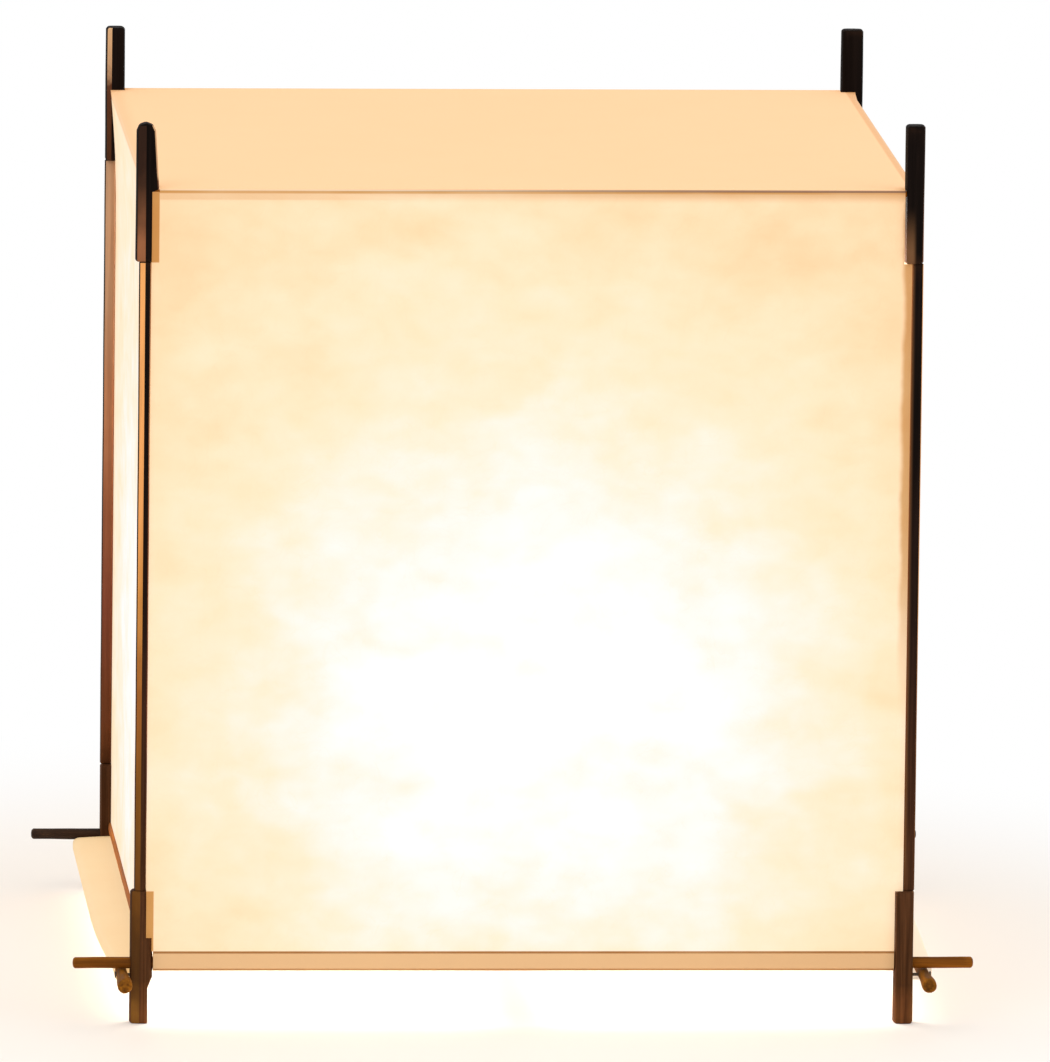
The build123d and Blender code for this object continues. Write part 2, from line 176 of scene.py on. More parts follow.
def steps(start, end, size=GRID):
    """Evenly spaced values from start to end, about size apart."""
    count = max(1, round(abs(end - start) / size))
    return [start + (end - start) * i / count for i in range(count + 1)]


def turned(turn):
    """Turns the front side's frame to side 1 (right), 2 (back) or 3 (left)."""
    return Matrix.Rotation(math.radians(90 * turn), 4, "Z")


def arc(centre, radius, start, end, count=6):
    """Points (out, z) on an arc, angles in degrees from outwards, turning upwards."""
    points = []
    for i in range(count + 1):
        angle = math.radians(start + (end - start) * i / count)
        points.append((centre[0] + radius * math.cos(angle), centre[1] + radius * math.sin(angle)))
    return points


# ---- Node helpers ----
class Tree:
    """Short calls for building one node tree."""

    def __init__(self, tree):
        self.tree = tree

    def add(self, kind, **settings):
        node = self.tree.nodes.new(kind)
        for key, value in settings.items():
            setattr(node, key, value)
        return node

    def put(self, socket, value):
        """Links an output or sets a plain value."""
        if isinstance(value, bpy.types.NodeSocket):
            self.tree.links.new(value, socket)
        elif value is not None:
            socket.default_value = value

    def math(self, operation, a, b=None):
        node = self.add("ShaderNodeMath", operation=operation)
        for socket, value in zip(node.inputs, (a, b)):
            self.put(socket, value)
        return node.outputs[0]

    def chain(self, operation, first, *others):
        """One operation over all the values, from left to right."""
        for value in others:
            first = self.math(operation, first, value)
        return first

    def plus(self, *values):
        return self.chain("ADD", *values)

    def minus(self, *values):
        return self.chain("SUBTRACT", *values)

    def times(self, *values):
        return self.chain("MULTIPLY", *values)

    def most(self, *values):
        return self.chain("MAXIMUM", *values)

    def seen(self):
        """1 for rays that the camera sends, also by way of a mirror or glass."""
        rays = self.add("ShaderNodeLightPath").outputs
        return self.most(rays["Is Camera Ray"], rays["Is Glossy Ray"], rays["Is Transmission Ray"])

    def mix_shaders(self, share, a, b, end):
        """Sends shader a, or b where share is 1, to the end socket."""
        blend = self.add("ShaderNodeMixShader")
        for socket, value in zip(blend.inputs, (share, a, b)):
            self.put(socket, value)
        self.put(end, blend.outputs[0])


class Nodes(Tree):
    """Short calls for building one material."""

    def __init__(self, name):
        self.material = bpy.data.materials.new(name)
        self.material.use_nodes = True
        super().__init__(self.material.node_tree)
        self.shader = self.tree.nodes["Principled BSDF"]
        self.output = self.tree.nodes["Material Output"]

    def vector(self, operation, a, b=None, out=0):
        node = self.add("ShaderNodeVectorMath", operation=operation)
        self.put(node.inputs[0], a)
        self.put(node.inputs[1], b)
        return node.outputs[out]

    def smooth(self, value, low, high, to_low=0.0, to_high=1.0):
        """Smooth step from low to high."""
        node = self.add("ShaderNodeMapRange", interpolation_type="SMOOTHSTEP")
        for socket, item in zip(node.inputs, (value, low, high, to_low, to_high)):
            self.put(socket, item)
        return node.outputs[0]

    def fall(self, value, low, high):
        """Smooth step from 1 at low to 0 at high."""
        return self.smooth(value, low, high, 1.0, 0.0)

    def place(self):
        """The point in the lamp's own frame."""
        return self.add("ShaderNodeTexCoord").outputs["Object"]

    def geometry(self, output):
        return self.add("ShaderNodeNewGeometry").outputs[output]

    def split(self, vector):
        node = self.add("ShaderNodeSeparateXYZ")
        self.put(node.inputs[0], vector)
        return node.outputs

    def noise(self, vector, scale, detail, roughness=0.5, distortion=0.0):
        node = self.add("ShaderNodeTexNoise")
        values = (vector, scale, detail, roughness, distortion)
        for key, value in zip(("Vector", "Scale", "Detail", "Roughness", "Distortion"), values):
            self.put(node.inputs[key], value)
        return node.outputs["Fac"]

    def ramp(self, value, stops):
        """Colours along a value; stops are (place, (r, g, b))."""
        node = self.add("ShaderNodeValToRGB")
        self.put(node.inputs[0], value)
        elements = node.color_ramp.elements
        while len(elements) < len(stops):
            elements.new(0.5)
        for element, (place, colour) in zip(elements, stops):
            element.position = place
            element.color = (*colour, 1)
        return node.outputs[0]

    def mix(self, share, a, b, blend="MIX"):
        node = self.add("ShaderNodeMix", data_type="RGBA", blend_type=blend)
        self.put(node.inputs[0], share)
        for socket, value in ((node.inputs[6], a), (node.inputs[7], b)):
            if isinstance(value, tuple):
                value = (*value, 1)
            self.put(socket, value)
        return node.outputs[2]

    def grey(self, value):
        """A colour with the value in all its channels."""
        node = self.add("ShaderNodeCombineColor")
        for socket in node.inputs:
            self.put(socket, value)
        return node.outputs[0]

    def bump(self, height, distance, strength):
        node = self.add("ShaderNodeBump")
        self.put(node.inputs["Distance"], distance)
        self.put(node.inputs["Strength"], strength)
        self.put(node.inputs["Height"], height)
        self.put(self.shader.inputs["Normal"], node.outputs[0])

    def set(self, **values):
        """Sets sockets of the shader by name, with _ for a space."""
        for key, value in values.items():
            if isinstance(value, tuple) and len(value) == 3:
                value = (*value, 1)
            self.put(self.shader.inputs[key.replace("_", " ")], value)


class Spot:
    """Where a point of the surface lies on the lamp, as sockets of a node tree."""

    def __init__(self, n):
        self.place = n.place()
        self.x, self.y, self.z = n.split(self.place)
        wide_x, wide_y = n.math("ABSOLUTE", self.x), n.math("ABSOLUTE", self.y)
        self.from_middle = n.math("MINIMUM", wide_x, wide_y)
        # 1 on the front and back, 0 on the left and right
        self.on_front = n.smooth(n.minus(wide_y, wide_x), -1e-5, 1e-5)
        # the place along any side, from its left end to its right end
        front_x = n.times(self.x, n.math("SIGN", self.y), -1.0)
        side_y = n.times(self.y, n.math("SIGN", self.x))
        self.on_side = n.minus(1.0, self.on_front)
        self.along = n.plus(n.times(self.on_front, front_x), n.times(self.on_side, side_y))


# ---- Paper ----
BULB_CENTRE = (0, 0, 0.165)
FULL_LIGHT = 0.2  # distance from the bulb at which its light counts as 1
RAGGED = 0.004  # how uneven the edge of a glued margin is
PAPER_BASE = (0.50, 0.405, 0.29)
PAPER_GLOSS = 0.2
TOP_GLOW, DENSE_TOP_GLOW = (0.60, 0.275, 0.085), (0.60, 0.36, 0.17)
SHADOW_TINT = (0.60, 0.40, 0.19)
# colour and glow of the painted shade along the top fold
FOLD_SHADE_BASE, FOLD_SHADE_GLOW = (0.16, 0.08, 0.05), (0.06, 0.02, 0.01)
# the hem's line colours paint the shade at its crease and its seam
HEM_BASE, HEM_CREASE_SHADE_BASE = (0.46, 0.285, 0.155), (0.34, 0.17, 0.055)
HEM_GLOW, DENSE_HEM_GLOW = (0.34, 0.215, 0.10), (0.29, 0.19, 0.10)
RIGHT_HEM_GLOW, HEM_CREASE_SHADE_GLOW = (0.20, 0.10, 0.03), (0.04, 0.0, 0.0)
SKIRT_GLOW, DENSE_SKIRT_GLOW = (0.46, 0.28, 0.10), (0.5, 0.36, 0.18)
RIGHT_SKIRT_GLOW = (0.56, 0.47, 0.38)


class PaperSpot(Spot):
    """A point of the paper, with its slope and its fibres."""

    def __init__(self, n):
        super().__init__(n)
        self.normal = n.geometry("True Normal")
        self.upward = n.math("ABSOLUTE", n.split(self.normal)[2])
        self.density, self.lines = washi(n, self.place)


def glow_stops(base):
    """Glow that the paper adds to its own colour, from dim to bright light behind it."""
    seen = (
        (0.08, (1.02, 0.67, 0.38)),
        (0.20, (1.06, 0.76, 0.47)),
        (0.33, (1.08, 0.835, 0.57)),
        (0.46, (1.08, 0.880, 0.66)),
        (0.60, (1.08, 0.935, 0.80)),
        (0.74, (1.08, 0.985, 0.93)),
        (0.90, (1.08, 1.04, 1.03)),
    )
    return [(place, tuple(c - b for c, b in zip(colour, base))) for place, colour in seen]


def washi(n, place):
    """Cloudy fibre density of the paper, about 0 to 1, and a fine fibre line mask."""
    flattened = n.vector("MULTIPLY", place, (0.8, 0.8, 1.2))
    clouds = n.noise(flattened, 20.0, 2.0, 0.5, 0.3)
    patches = n.noise(flattened, 52.0, 2.0, 0.5, 0.2)
    density = n.plus(n.times(clouds, 0.6), n.times(patches, 0.4))
    lines = []
    for scale, shift in ((38.0, 0.0), (61.0, 3.7)):
        moved = n.vector("ADD", place, (shift, shift, shift))
        wander = n.noise(moved, scale, 2.0, 0.4, 1.5)
        lines.append(n.fall(n.math("ABSOLUTE", n.minus(wander, 0.5)), 0.0, 0.006))
    return density, n.most(*lines)


def light_behind(n, spot):
    """Light that comes through from the bulb, about 1 at the middle of a side."""
    ray = n.vector("SUBTRACT", spot.place, BULB_CENTRE)
    far = n.vector("LENGTH", ray, out=1)
    across = n.vector("DOT_PRODUCT", n.vector("NORMALIZE", ray), spot.normal, out=1)
    light = n.math("DIVIDE", n.math("ABSOLUTE", across), n.times(far, far))
    light = n.times(light, FULL_LIGHT**2)
    # the left and right papers are lit more evenly
    evened = n.times(spot.on_side, 0.5)
    light = n.plus(light, n.times(evened, n.minus(0.50, light)))
    cloud = n.minus(0.5, spot.density)
    light = n.plus(n.times(light, n.plus(1.0, cloud)), n.times(cloud, 0.28))
    # the corners and the bottom get less light, the highest part more
    corner = n.smooth(spot.from_middle, *BESIDE_POST, 1.0, n.smooth(spot.z, *CORNER_RISE, 0.96, 0.80))
    low = n.smooth(spot.z, *LOW_PART, 0.97, 1.05)
    high = n.smooth(spot.z, *HIGH_PART, 1.0, 1.12)
    return n.times(light, corner, low, high, n.minus(1.0, n.times(spot.lines, 0.05)))


def shadows_behind(n, spot):
    """Where sticks and blocks behind the paper, or a second layer, darken it."""
    along, z = spot.along, spot.z
    upright = n.fall(spot.upward, 0.3, 0.6)
    # the cheek of each foot and top block behind the left end of its side
    ends = n.most(n.fall(z, *FOOT_END), n.smooth(z, *BLOCK_END))
    cheek = n.times(n.fall(along, *CHEEK_EDGE), ends, upright)
    # the rod under the fold of the top, its soft shadow and its seam
    wave = n.noise(spot.place, 14.0, 2.0)
    rod = n.times(n.smooth(z, *ROD_SHADOW), n.smooth(wave, 0.3, 0.7, 0.75, 1.0))
    halo = n.times(n.smooth(z, *ROD_HALO), n.smooth(along, -0.1, 0.1, 0.3, 0.6))
    seam = n.times(n.smooth(z, *ROD_SEAM), n.smooth(along, -0.15, 0.0, 0.35, 0.0))
    rod = n.times(n.most(rod, halo, seam), upright, n.smooth(spot.on_front, 0.4, 0.6, 0.35, 1.0))
    # the doubled margin at the right rim of the top, and a soft painted shade where the top turns down at
    # the left
    rim = n.most(n.smooth(spot.x, *RIM_MARGIN, 0.0, 0.38), n.smooth(spot.x, *SOFT_RIM, 0.16, 0.0))
    rim = n.times(rim, n.minus(1.0, upright))
    # the doubled margin beside the post at the right end of an upright side
    ragged = n.plus(along, n.times(n.minus(n.noise(spot.place, 45.0, 3.0), 0.5), RAGGED))
    margin = n.times(n.smooth(ragged, *POST_MARGIN, 0.0, 0.85), n.smooth(z, *MARGIN_RISE), upright)
    return n.most(cheek, margin, rod, rim)


def painted_fold_shade(n, spot):
    """Painted shade at the fold: the dark line where the paper turns over its top rod, stronger towards
    the right.
    """
    turning = n.times(n.smooth(spot.upward, 0.25, 0.36), n.fall(spot.upward, 0.80, 0.90))
    strong = n.smooth(spot.along, -0.14, 0.12, 0.12, 0.85)
    return n.times(turning, strong, n.smooth(spot.on_front, 0.4, 0.6))


def side_look(n, spot):
    """Colour and glow of the sides and the top, with painted shade from behind and at the top fold."""
    glow = n.ramp(light_behind(n, spot), glow_stops(PAPER_BASE))
    top_glow = n.mix(n.times(spot.density, 0.25), TOP_GLOW, DENSE_TOP_GLOW)
    glow = n.mix(n.smooth(spot.upward, 0.5, 0.95), glow, top_glow)
    shade, line = shadows_behind(n, spot), painted_fold_shade(n, spot)
    glow = n.mix(shade, glow, n.mix(1.0, glow, SHADOW_TINT, "MULTIPLY"))
    base = n.mix(shade, PAPER_BASE, tuple(b * t for b, t in zip(PAPER_BASE, SHADOW_TINT)))
    return n.mix(line, base, FOLD_SHADE_BASE), n.mix(line, glow, FOLD_SHADE_GLOW)


def hem_look(n, spot):
    """Colour and glow of the front and back hems, with a dark line of painted shade at the crease and at
    the seam.
    """
    line = n.most(n.smooth(spot.z, *HEM_CREASE, 0.85, 0.0), n.smooth(spot.z, *HEM_SEAM))
    line = n.times(line, n.smooth(spot.density, 0.3, 0.6, 0.8, 1.0))
    glow = n.mix(n.times(spot.density, 0.4), HEM_GLOW, DENSE_HEM_GLOW)
    glow = n.mix(n.smooth(spot.along, 0.0, POST_EDGE, 0.0, 0.35), glow, RIGHT_HEM_GLOW)
    return n.mix(line, HEM_BASE, HEM_CREASE_SHADE_BASE), n.mix(line, glow, HEM_CREASE_SHADE_GLOW)


def skirt_look(n, spot):
    """Colour and glow of the hems of the left and right papers."""
    glow = n.mix(spot.density, SKIRT_GLOW, DENSE_SKIRT_GLOW)
    return PAPER_BASE, n.mix(n.smooth(spot.x, -0.1, 0.1), glow, RIGHT_SKIRT_GLOW)


def paper_material(name, look):
    """Washi lit from inside. look gives the colour and glow of one part of the paper."""
    n = Nodes(name)
    spot = PaperSpot(n)
    base, glow = look(n, spot)
    fine = n.noise(spot.place, 900.0, 3.0, 0.6)
    n.bump(n.plus(n.times(spot.lines, 0.6), fine), 0.00012, 0.6)
    n.set(Base_Color=base, Roughness=0.85, Specular_IOR_Level=PAPER_GLOSS)
    n.set(Emission_Color=glow, Emission_Strength=1.0)
    return n.material


# ---- Wood ----
POST_GLOSS = 0.03
STICK_GLOSS = 0.05
POST_EDGE_WEAR = (0.10, 0.04, 0.018)
LIT_CORNER = (0.20, 0.095, 0.042)
PLAIN, STRIP, BESIDE, BLOCK_STRIP, BLOCK_BESIDE = range(5)  # kinds of face on a post or block

# Colours of posts and blocks from the floor up. Places are shares of RAMP_HEIGHT.
RAMP_HEIGHT = 0.48
# the stained wood, browner towards the floor with painted light from the lit floor
STAIN_AND_FLOOR_LIGHT = (
    (0.015, (0.150, 0.056, 0.019)),
    (0.050, (0.078, 0.032, 0.012)),
    (0.08, (0.085, 0.034, 0.013)),
    (0.25, (0.055, 0.021, 0.010)),
    (0.42, (0.020, 0.009, 0.006)),
    (0.62, (0.007, 0.004, 0.003)),
)
LIT = {
    STRIP: (
        (0.10, (0.12, 0.045, 0.010)),
        (0.25, (0.22, 0.085, 0.014)),
        (0.36, (0.37, 0.130, 0.028)),
        (0.47, (0.68, 0.290, 0.070)),
        (0.56, (0.84, 0.370, 0.120)),
        (0.80, (0.86, 0.390, 0.130)),
    ),
    BESIDE: (
        (0.14, (0.060, 0.020, 0.006)),
        (0.19, (0.125, 0.040, 0.014)),
        (0.33, (0.21, 0.062, 0.034)),
        (0.45, (0.30, 0.110, 0.052)),
        (0.56, (0.42, 0.185, 0.095)),
        (0.67, (0.48, 0.270, 0.160)),
        (0.82, (0.50, 0.300, 0.180)),
    ),
    BLOCK_STRIP: (
        (0.015, (0.240, 0.105, 0.022)),
        (0.050, (0.090, 0.038, 0.011)),
        (0.10, (0.100, 0.040, 0.010)),
        (0.15, (0.170, 0.065, 0.012)),
        (0.84, (0.300, 0.115, 0.050)),
        (0.89, (0.110, 0.045, 0.022)),
        (0.94, (0.035, 0.016, 0.010)),
    ),
    BLOCK_BESIDE: (
        (0.14, (0.050, 0.018, 0.006)),
        (0.84, (0.070, 0.026, 0.011)),
        (0.915, (0.110, 0.040, 0.018)),
        (0.925, (0.550, 0.330, 0.180)),
        (0.975, (0.720, 0.440, 0.230)),
    ),
}


def streaks(n, place, axis, across, along, detail, roughness, distortion):
    """Noise drawn out along an axis."""
    scale = [across] * 3
    scale[axis] = along
    return n.noise(n.vector("MULTIPLY", place, tuple(scale)), 1.0, detail, roughness, distortion)


def wood_grain(n, place, axis, band_scale):
    """Fine grain along axis 0, 1 or 2, and the tone that it makes with broader bands."""
    grain = streaks(n, place, axis, 420.0, 14.0, 6.0, 0.62, 0.4)
    bands = streaks(n, place, axis, band_scale, 5.0, 3.0, 0.5, 1.2)
    return grain, n.plus(n.times(grain, 0.6), n.times(bands, 0.4))


def finish_wood(n, colour, grain, gloss):
    """Gives wood its colour, its fine relief and its sheen."""
    n.bump(grain, 0.00025, 0.7)
    n.set(Base_Color=colour, Roughness=n.smooth(grain, 0.3, 0.7, 0.5, 0.7), Specular_IOR_Level=gloss)
    return n.material


def wood_material(name, dark, light, axis, edge=(0.30, 0.14, 0.05), gloss=0.12):
    """Stained wood with its grain along axis 0, 1 or 2, and the edge colour on its sharp edges: wear, and
    on the sticks a painted highlight.
    """
    n = Nodes(name)
    place = n.place()
    grain, tone = wood_grain(n, place, axis, 150.0)
    between = tuple((a + b) / 2 for a, b in zip(dark, light))
    colour = n.ramp(n.smooth(tone, 0.32, 0.68), [(0.0, dark), (0.55, between), (1.0, light)])
    # sharp edges and ends take the edge colour: wear, and a painted highlight where that colour is
    # brighter than the wood
    edge_share = n.smooth(n.geometry("Pointiness"), 0.53, 0.60, 0.0, 0.55)
    edge_share = n.times(edge_share, n.smooth(n.noise(place, 130.0, 3.0), 0.35, 0.65))
    return finish_wood(n, n.mix(edge_share, colour, edge), grain, gloss)


def post_material():
    """Dark stained wood, browner near the floor with painted light from the lit floor, whose faces beside
    the lit paper catch its light.
    """
    n = Nodes("post_wood")
    spot = Spot(n)
    grain, tone = wood_grain(n, spot.place, 2, 170.0)
    tone = n.smooth(tone, 0.3, 0.7)
    stain = n.noise(spot.place, 60.0, 3.0)
    level = n.plus(n.math("DIVIDE", spot.z, RAMP_HEIGHT), n.times(n.minus(stain, 0.5), 0.08))
    wood = n.ramp(level, STAIN_AND_FLOOR_LIGHT)
    dark = n.mix(1.0, wood, (0.45, 0.42, 0.40), "MULTIPLY")
    colour = n.mix(tone, dark, n.mix(1.0, wood, (1.5, 1.5, 1.5), "MULTIPLY"))
    face = n.add("ShaderNodeAttribute", attribute_name="lit").outputs["Fac"]
    streaky = n.grey(n.smooth(tone, 0.0, 1.0, 0.82, 1.08))
    for kind, stops in LIT.items():
        light = n.mix(1.0, n.ramp(level, stops), streaky, "MULTIPLY")
        colour = n.mix(n.math("GREATER_THAN", face, kind - 0.5), colour, light)
    # light on the right corner of a post's front, from its foot to near its top
    right_end = n.math("GREATER_THAN", spot.along, 0.0)
    corner = n.times(n.smooth(spot.along, *POST_CORNER, 0.9, 0.0), right_end)
    corner = n.times(corner, n.fall(spot.z, *CORNER_LIGHT_HIGH), n.smooth(spot.z, *CORNER_LIGHT_LOW))
    colour = n.mix(n.times(corner, n.math("LESS_THAN", face, PLAIN + 0.5)), colour, LIT_CORNER)
    edge_share = n.smooth(n.geometry("Pointiness"), 0.52, 0.60, 0.0, 0.35)
    colour = n.mix(n.times(edge_share, n.smooth(stain, 0.45, 0.6)), colour, POST_EDGE_WEAR)
    return finish_wood(n, colour, grain, POST_GLOSS)


# ---- Metal, plastic and glass ----
def metal_material(name, colour, roughness, metallic=1.0):
    n = Nodes(name)
    smear = n.noise(n.place(), 260.0, 4.0, 0.6)
    n.set(Base_Color=n.mix(n.times(smear, 0.35), colour, tuple(c * 0.6 for c in colour)))
    n.set(Roughness=n.smooth(smear, 0.3, 0.7, roughness - 0.08, roughness + 0.1), Metallic=metallic)
    n.bump(smear, 0.00005, 0.5)
    return n.material


def plain_material(name, colour, roughness):
    """Moulded plastic or fired ceramic with a faint uneven skin."""
    n = Nodes(name)
    skin = n.noise(n.place(), 700.0, 3.0)
    n.set(Base_Color=n.mix(n.times(skin, 0.3), colour, tuple(c * 1.4 for c in colour)))
    n.set(Roughness=n.smooth(skin, 0.3, 0.7, roughness - 0.06, roughness + 0.08))
    n.bump(skin, 0.00004, 0.4)
    return n.material


def lit_material(name, colour, strength):
    """Frosted glass or a filament that shines."""
    n = Nodes(name)
    frost = n.noise(n.place(), 500.0, 2.0)
    n.set(Base_Color=n.mix(frost, colour, (1.0, 0.97, 0.92)), Roughness=0.4)
    n.set(Emission_Color=colour, Emission_Strength=strength)
    return n.material


shade_paper = paper_material("washi_sides", side_look)
hem_paper = paper_material("washi_hem", hem_look)
skirt_paper = paper_material("washi_side_hem", skirt_look)
post_wood = post_material()
# the bright edge colours of the sticks paint highlights on their edges and ends, beside wear
cross_wood = wood_material(
    "cross_stick_wood", (0.085, 0.026, 0.003), (0.28, 0.090, 0.008), 0, (0.50, 0.17, 0.015), STICK_GLOSS
)
# the back cross stick: the same wood as the front one, painted near black as shade
shaded_back_wood = wood_material(
    "shaded_back_stick_wood", (0.008, 0.004, 0.003), (0.045, 0.020, 0.009), 0, (0.30, 0.17, 0.09)
)
side_wood = wood_material(
    "side_stick_wood", (0.075, 0.026, 0.003), (0.32, 0.115, 0.010), 1, (0.50, 0.19, 0.015), STICK_GLOSS
)
rail_wood = wood_material("rail_wood", (0.26, 0.070, 0.010), (0.66, 0.21, 0.035), 1, gloss=STICK_GLOSS)
bar_wood = wood_material("crossbar_wood", (0.05, 0.025, 0.012), (0.13, 0.065, 0.03), 1)
steel = metal_material("steel", (0.55, 0.55, 0.56), 0.35)
dark_steel = metal_material("blackened_steel", (0.10, 0.07, 0.05), 0.6, 0.4)
brass = metal_material("brass", (0.72, 0.50, 0.22), 0.3)
cap_metal = metal_material("bulb_cap_metal", (0.8, 0.8, 0.79), 0.3)
phenolic = plain_material("phenolic", (0.02, 0.018, 0.017), 0.3)
porcelain = plain_material("porcelain", (0.6, 0.59, 0.56), 0.25)
black_glass = plain_material("black_insulator", (0.015, 0.015, 0.018), 0.2)
bulb_glass = lit_material("frosted_glass", (1.0, 0.86, 0.66), 2.2)
filament_glow = lit_material("filament_glow", (1.0, 0.72, 0.38), 5.0)


# the CAD nodes that stay as they are
for nodes, material in (
    (("front_top_rod", "back_top_rod"), cross_wood),
    (("crossbar",), bar_wood),
    (("stick_pins",), dark_steel),
    (("crossbar_screws", "threaded_nipple", "nipple_nut"), steel),
    (("lampholder_cap", "lampholder_shell"), phenolic),
    (("contact_plate",), porcelain),
    (("screw_sleeve", "centre_contact"), brass),
    (("bulb_tip_contact", "bulb_screw_cap"), cap_metal),
    (("bulb_insulator",), black_glass),
    (("bulb_glass", "filament_stem"), bulb_glass),
    (("filaments",), filament_glow),
):
    for node in nodes:
        mesh = frame["nodes"][node].data
        mesh.materials.clear()
        mesh.materials.append(material)


# ---- Hand-cut posts, feet and top blocks ----
STRIP_EDGE = (post_low.x + post_high.x) / 2
CUT_SPACING = 0.004  # between the long rows of points across a face
END_ROW = 0.001  # the last row of points before an end
SEAT_STEP = 0.0003  # rows just above and below the place where a post enters a block
SEAT_PLAY = 0.0012  # a post is this much slimmer on each side inside its foot and top block
NEAR = 1e-6
RELIEF = 0.0205  # height of the cut in a foot's inner cheek
RELIEF_EDGE = post_high.x + 0.0012  # how far the foot reaches there
ROUND_END = 0.004  # height of the round end of the front left top block
ROUND_SHIFT = 0.0010  # how far the middle of that end lies to the left of the block's
WORN_SIDE = 0.0020  # how far the block's right side is worn back at its top


def cut_steps(start, end, cuts):
    """Steps from start to end with one of them on each cut between them."""
    stops = [start, *sorted(c for c in cuts if start < c < end), end]
    found = [start]
    for a, b in zip(stops, stops[1:]):
        found += steps(a, b, CUT_SPACING)[1:]
    return found


def face_kind(centre, normal, turn, block):
    """The kind of a face of a post or block: the lit strip in front, beside the paper, or plain."""
    back = turned(-turn)
    at, facing = back @ centre, back @ normal
    if facing.y < -0.7 and at.x < STRIP_EDGE:
        return BLOCK_STRIP if block else STRIP
    if block:
        return BLOCK_BESIDE if facing.x > 0.7 and at.y < STRIP_EDGE else PLAIN
    return BESIDE if facing.x > 0.7 or facing.y > 0.7 else PLAIN


def box_grid(xs, ys, zs):
    """Points and faces of a box that is divided at the given places."""
    index, verts, faces = {}, [], []

    def vert(at):
        if at not in index:
            index[at] = len(verts)
            i, j, k = at
            verts.append(Vector((xs[i], ys[j], zs[k])))
        return index[at]

    def quad(*corners):
        faces.append((tuple(vert(at) for at in corners), 0))

    a, b, c = len(xs) - 1, len(ys) - 1, len(zs) - 1
    for i in range(a):
        for j in range(b):
            quad((i, j, 0), (i, j + 1, 0), (i + 1, j + 1, 0), (i + 1, j, 0))
            quad((i, j, c), (i + 1, j, c), (i + 1, j + 1, c), (i, j + 1, c))
    for k in range(c):
        for i in range(a):
            quad((i, 0, k), (i + 1, 0, k), (i + 1, 0, k + 1), (i, 0, k + 1))
            quad((i, b, k), (i, b, k + 1), (i + 1, b, k + 1), (i + 1, b, k))
        for j in range(b):
            quad((0, j, k), (0, j, k + 1), (0, j + 1, k + 1), (0, j + 1, k))
            quad((a, j, k), (a, j + 1, k), (a, j + 1, k + 1), (a, j, k + 1))
    return verts, faces


def wear_round(v, middle_x, top):
    """Wears a point of the front left top block narrower towards a round top."""
    if v.x > STRIP_EDGE:
        v.x -= WORN_SIDE * clamped((v.z - TOP) / (top - TOP))
    rise = max(0.0, (v.z - (top - ROUND_END)) / ROUND_END)
    width = 1 - 0.75 * (1 - math.sqrt(max(0.0, 1 - rise * rise)))
    centre = middle_x - ROUND_SHIFT
    v.x = centre + (v.x - centre) * width


def hewn(node, turn, wobble, bevel, segment):
    """A hand-cut stick in place of a square node: soft edges and slightly uneven faces."""
    low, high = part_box(node)
    middle = (low + high) / 2
    split = (STRIP_EDGE, -STRIP_EDGE)
    seats = ()
    if "post" in node:
        seats = tuple(z + step for z in (FOOT_TOP, TOP_BLOCK_BOTTOM) for step in (-SEAT_STEP, SEAT_STEP))
    zs = [low.z]
    for stop in (low.z + END_ROW, *seats, high.z - ROUND_END, high.z - END_ROW, high.z):
        zs += steps(zs[-1], stop, segment)[1:]
    verts, faces = box_grid(cut_steps(low.x, high.x, split), cut_steps(low.y, high.y, split), zs)
    for v in verts:
        share = [(v[i] - middle[i]) / ((high[i] - low[i]) / 2) for i in range(3)]
        # the long edges are pulled in, then the ends, and a post's seated ends
        if abs(share[0]) > 0.99 and abs(share[1]) > 0.99:
            for i in (0, 1):
                v[i] -= math.copysign(bevel, share[i])
        inset = bevel if abs(share[2]) > 0.999 else 0.0
        if seats and not seats[0] + NEAR < v.z < seats[-1] - NEAR:
            inset += SEAT_PLAY
        for i in (0, 1):
            v[i] -= share[i] * inset
        if node == "front_left_top_block":
            wear_round(v, middle.x, high.z)
        if "foot" in node and v.z < RELIEF:
            # the inner cheek is cut back under the hem
            at = turned(-turn) @ v
            at.x = min(at.x, RELIEF_EDGE)
            v.xyz = turned(turn) @ at
        # the faces wander inwards
        drift = noise.noise_vector(Vector((v.x * 9, v.y * 9, v.z * 22)))
        for i in (0, 1):
            v[i] -= share[i] * wobble * (0.5 + 0.5 * drift[i])
    piece = new_piece(f"{node}_wood", verts, faces, [post_wood])
    lit = piece.data.attributes.new("lit", "FLOAT", "FACE")
    for item, polygon in zip(lit.data, piece.data.polygons):
        item.value = face_kind(polygon.center, polygon.normal, turn, "post" not in node)
    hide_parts(node)
    sharp = math.radians(40)
    modifier(piece, "BEVEL", width=bevel * 0.6, segments=2, limit_method="ANGLE", angle_limit=sharp)


for turn, corner in enumerate(("front_left", "front_right", "back_right", "back_left")):
    hewn(f"{corner}_post", turn, wobble=0.0003, bevel=0.0005, segment=0.012)
    hewn(f"{corner}_foot", turn, wobble=0.0004, bevel=0.0007, segment=0.006)
    hewn(f"{corner}_top_block", turn, wobble=0.0004, bevel=0.0007, segment=0.006)


# ---- Round sticks and rails ----
STICK_CAP = 0.55  # length of a stick's soft end, as a share of its radius
STICK_END = 0.28  # size of its end, as a share too
STICK_FREE = 0.206  # a stick is uneven beyond this distance from its middle, outside the feet
FREE_EASE = 0.02  # over this length
SEATED_GAP = 0.00002
STICK_WANDER = 0.0004
THICK_END = 0.32
STICK_POINTS = 14  # in each ring of a stick
# Section of a rail strip, as (out, up) from the foot of the wall: slim and slightly crowned.
STRIP_SECTION = (
    (0.0, 0.0), (0.0009, 0.0002), (0.0012, 0.0012), (0.0013, 0.0028),
    (0.0011, 0.0046), (0.0007, 0.0054), (0.0, 0.0056),
)
STRIP_LIFT = 0.0016  # how far the strip lies above the CAD rail's lower edge
STRIP_KNOT, STRIP_WANDER = 0.0002, 0.0003


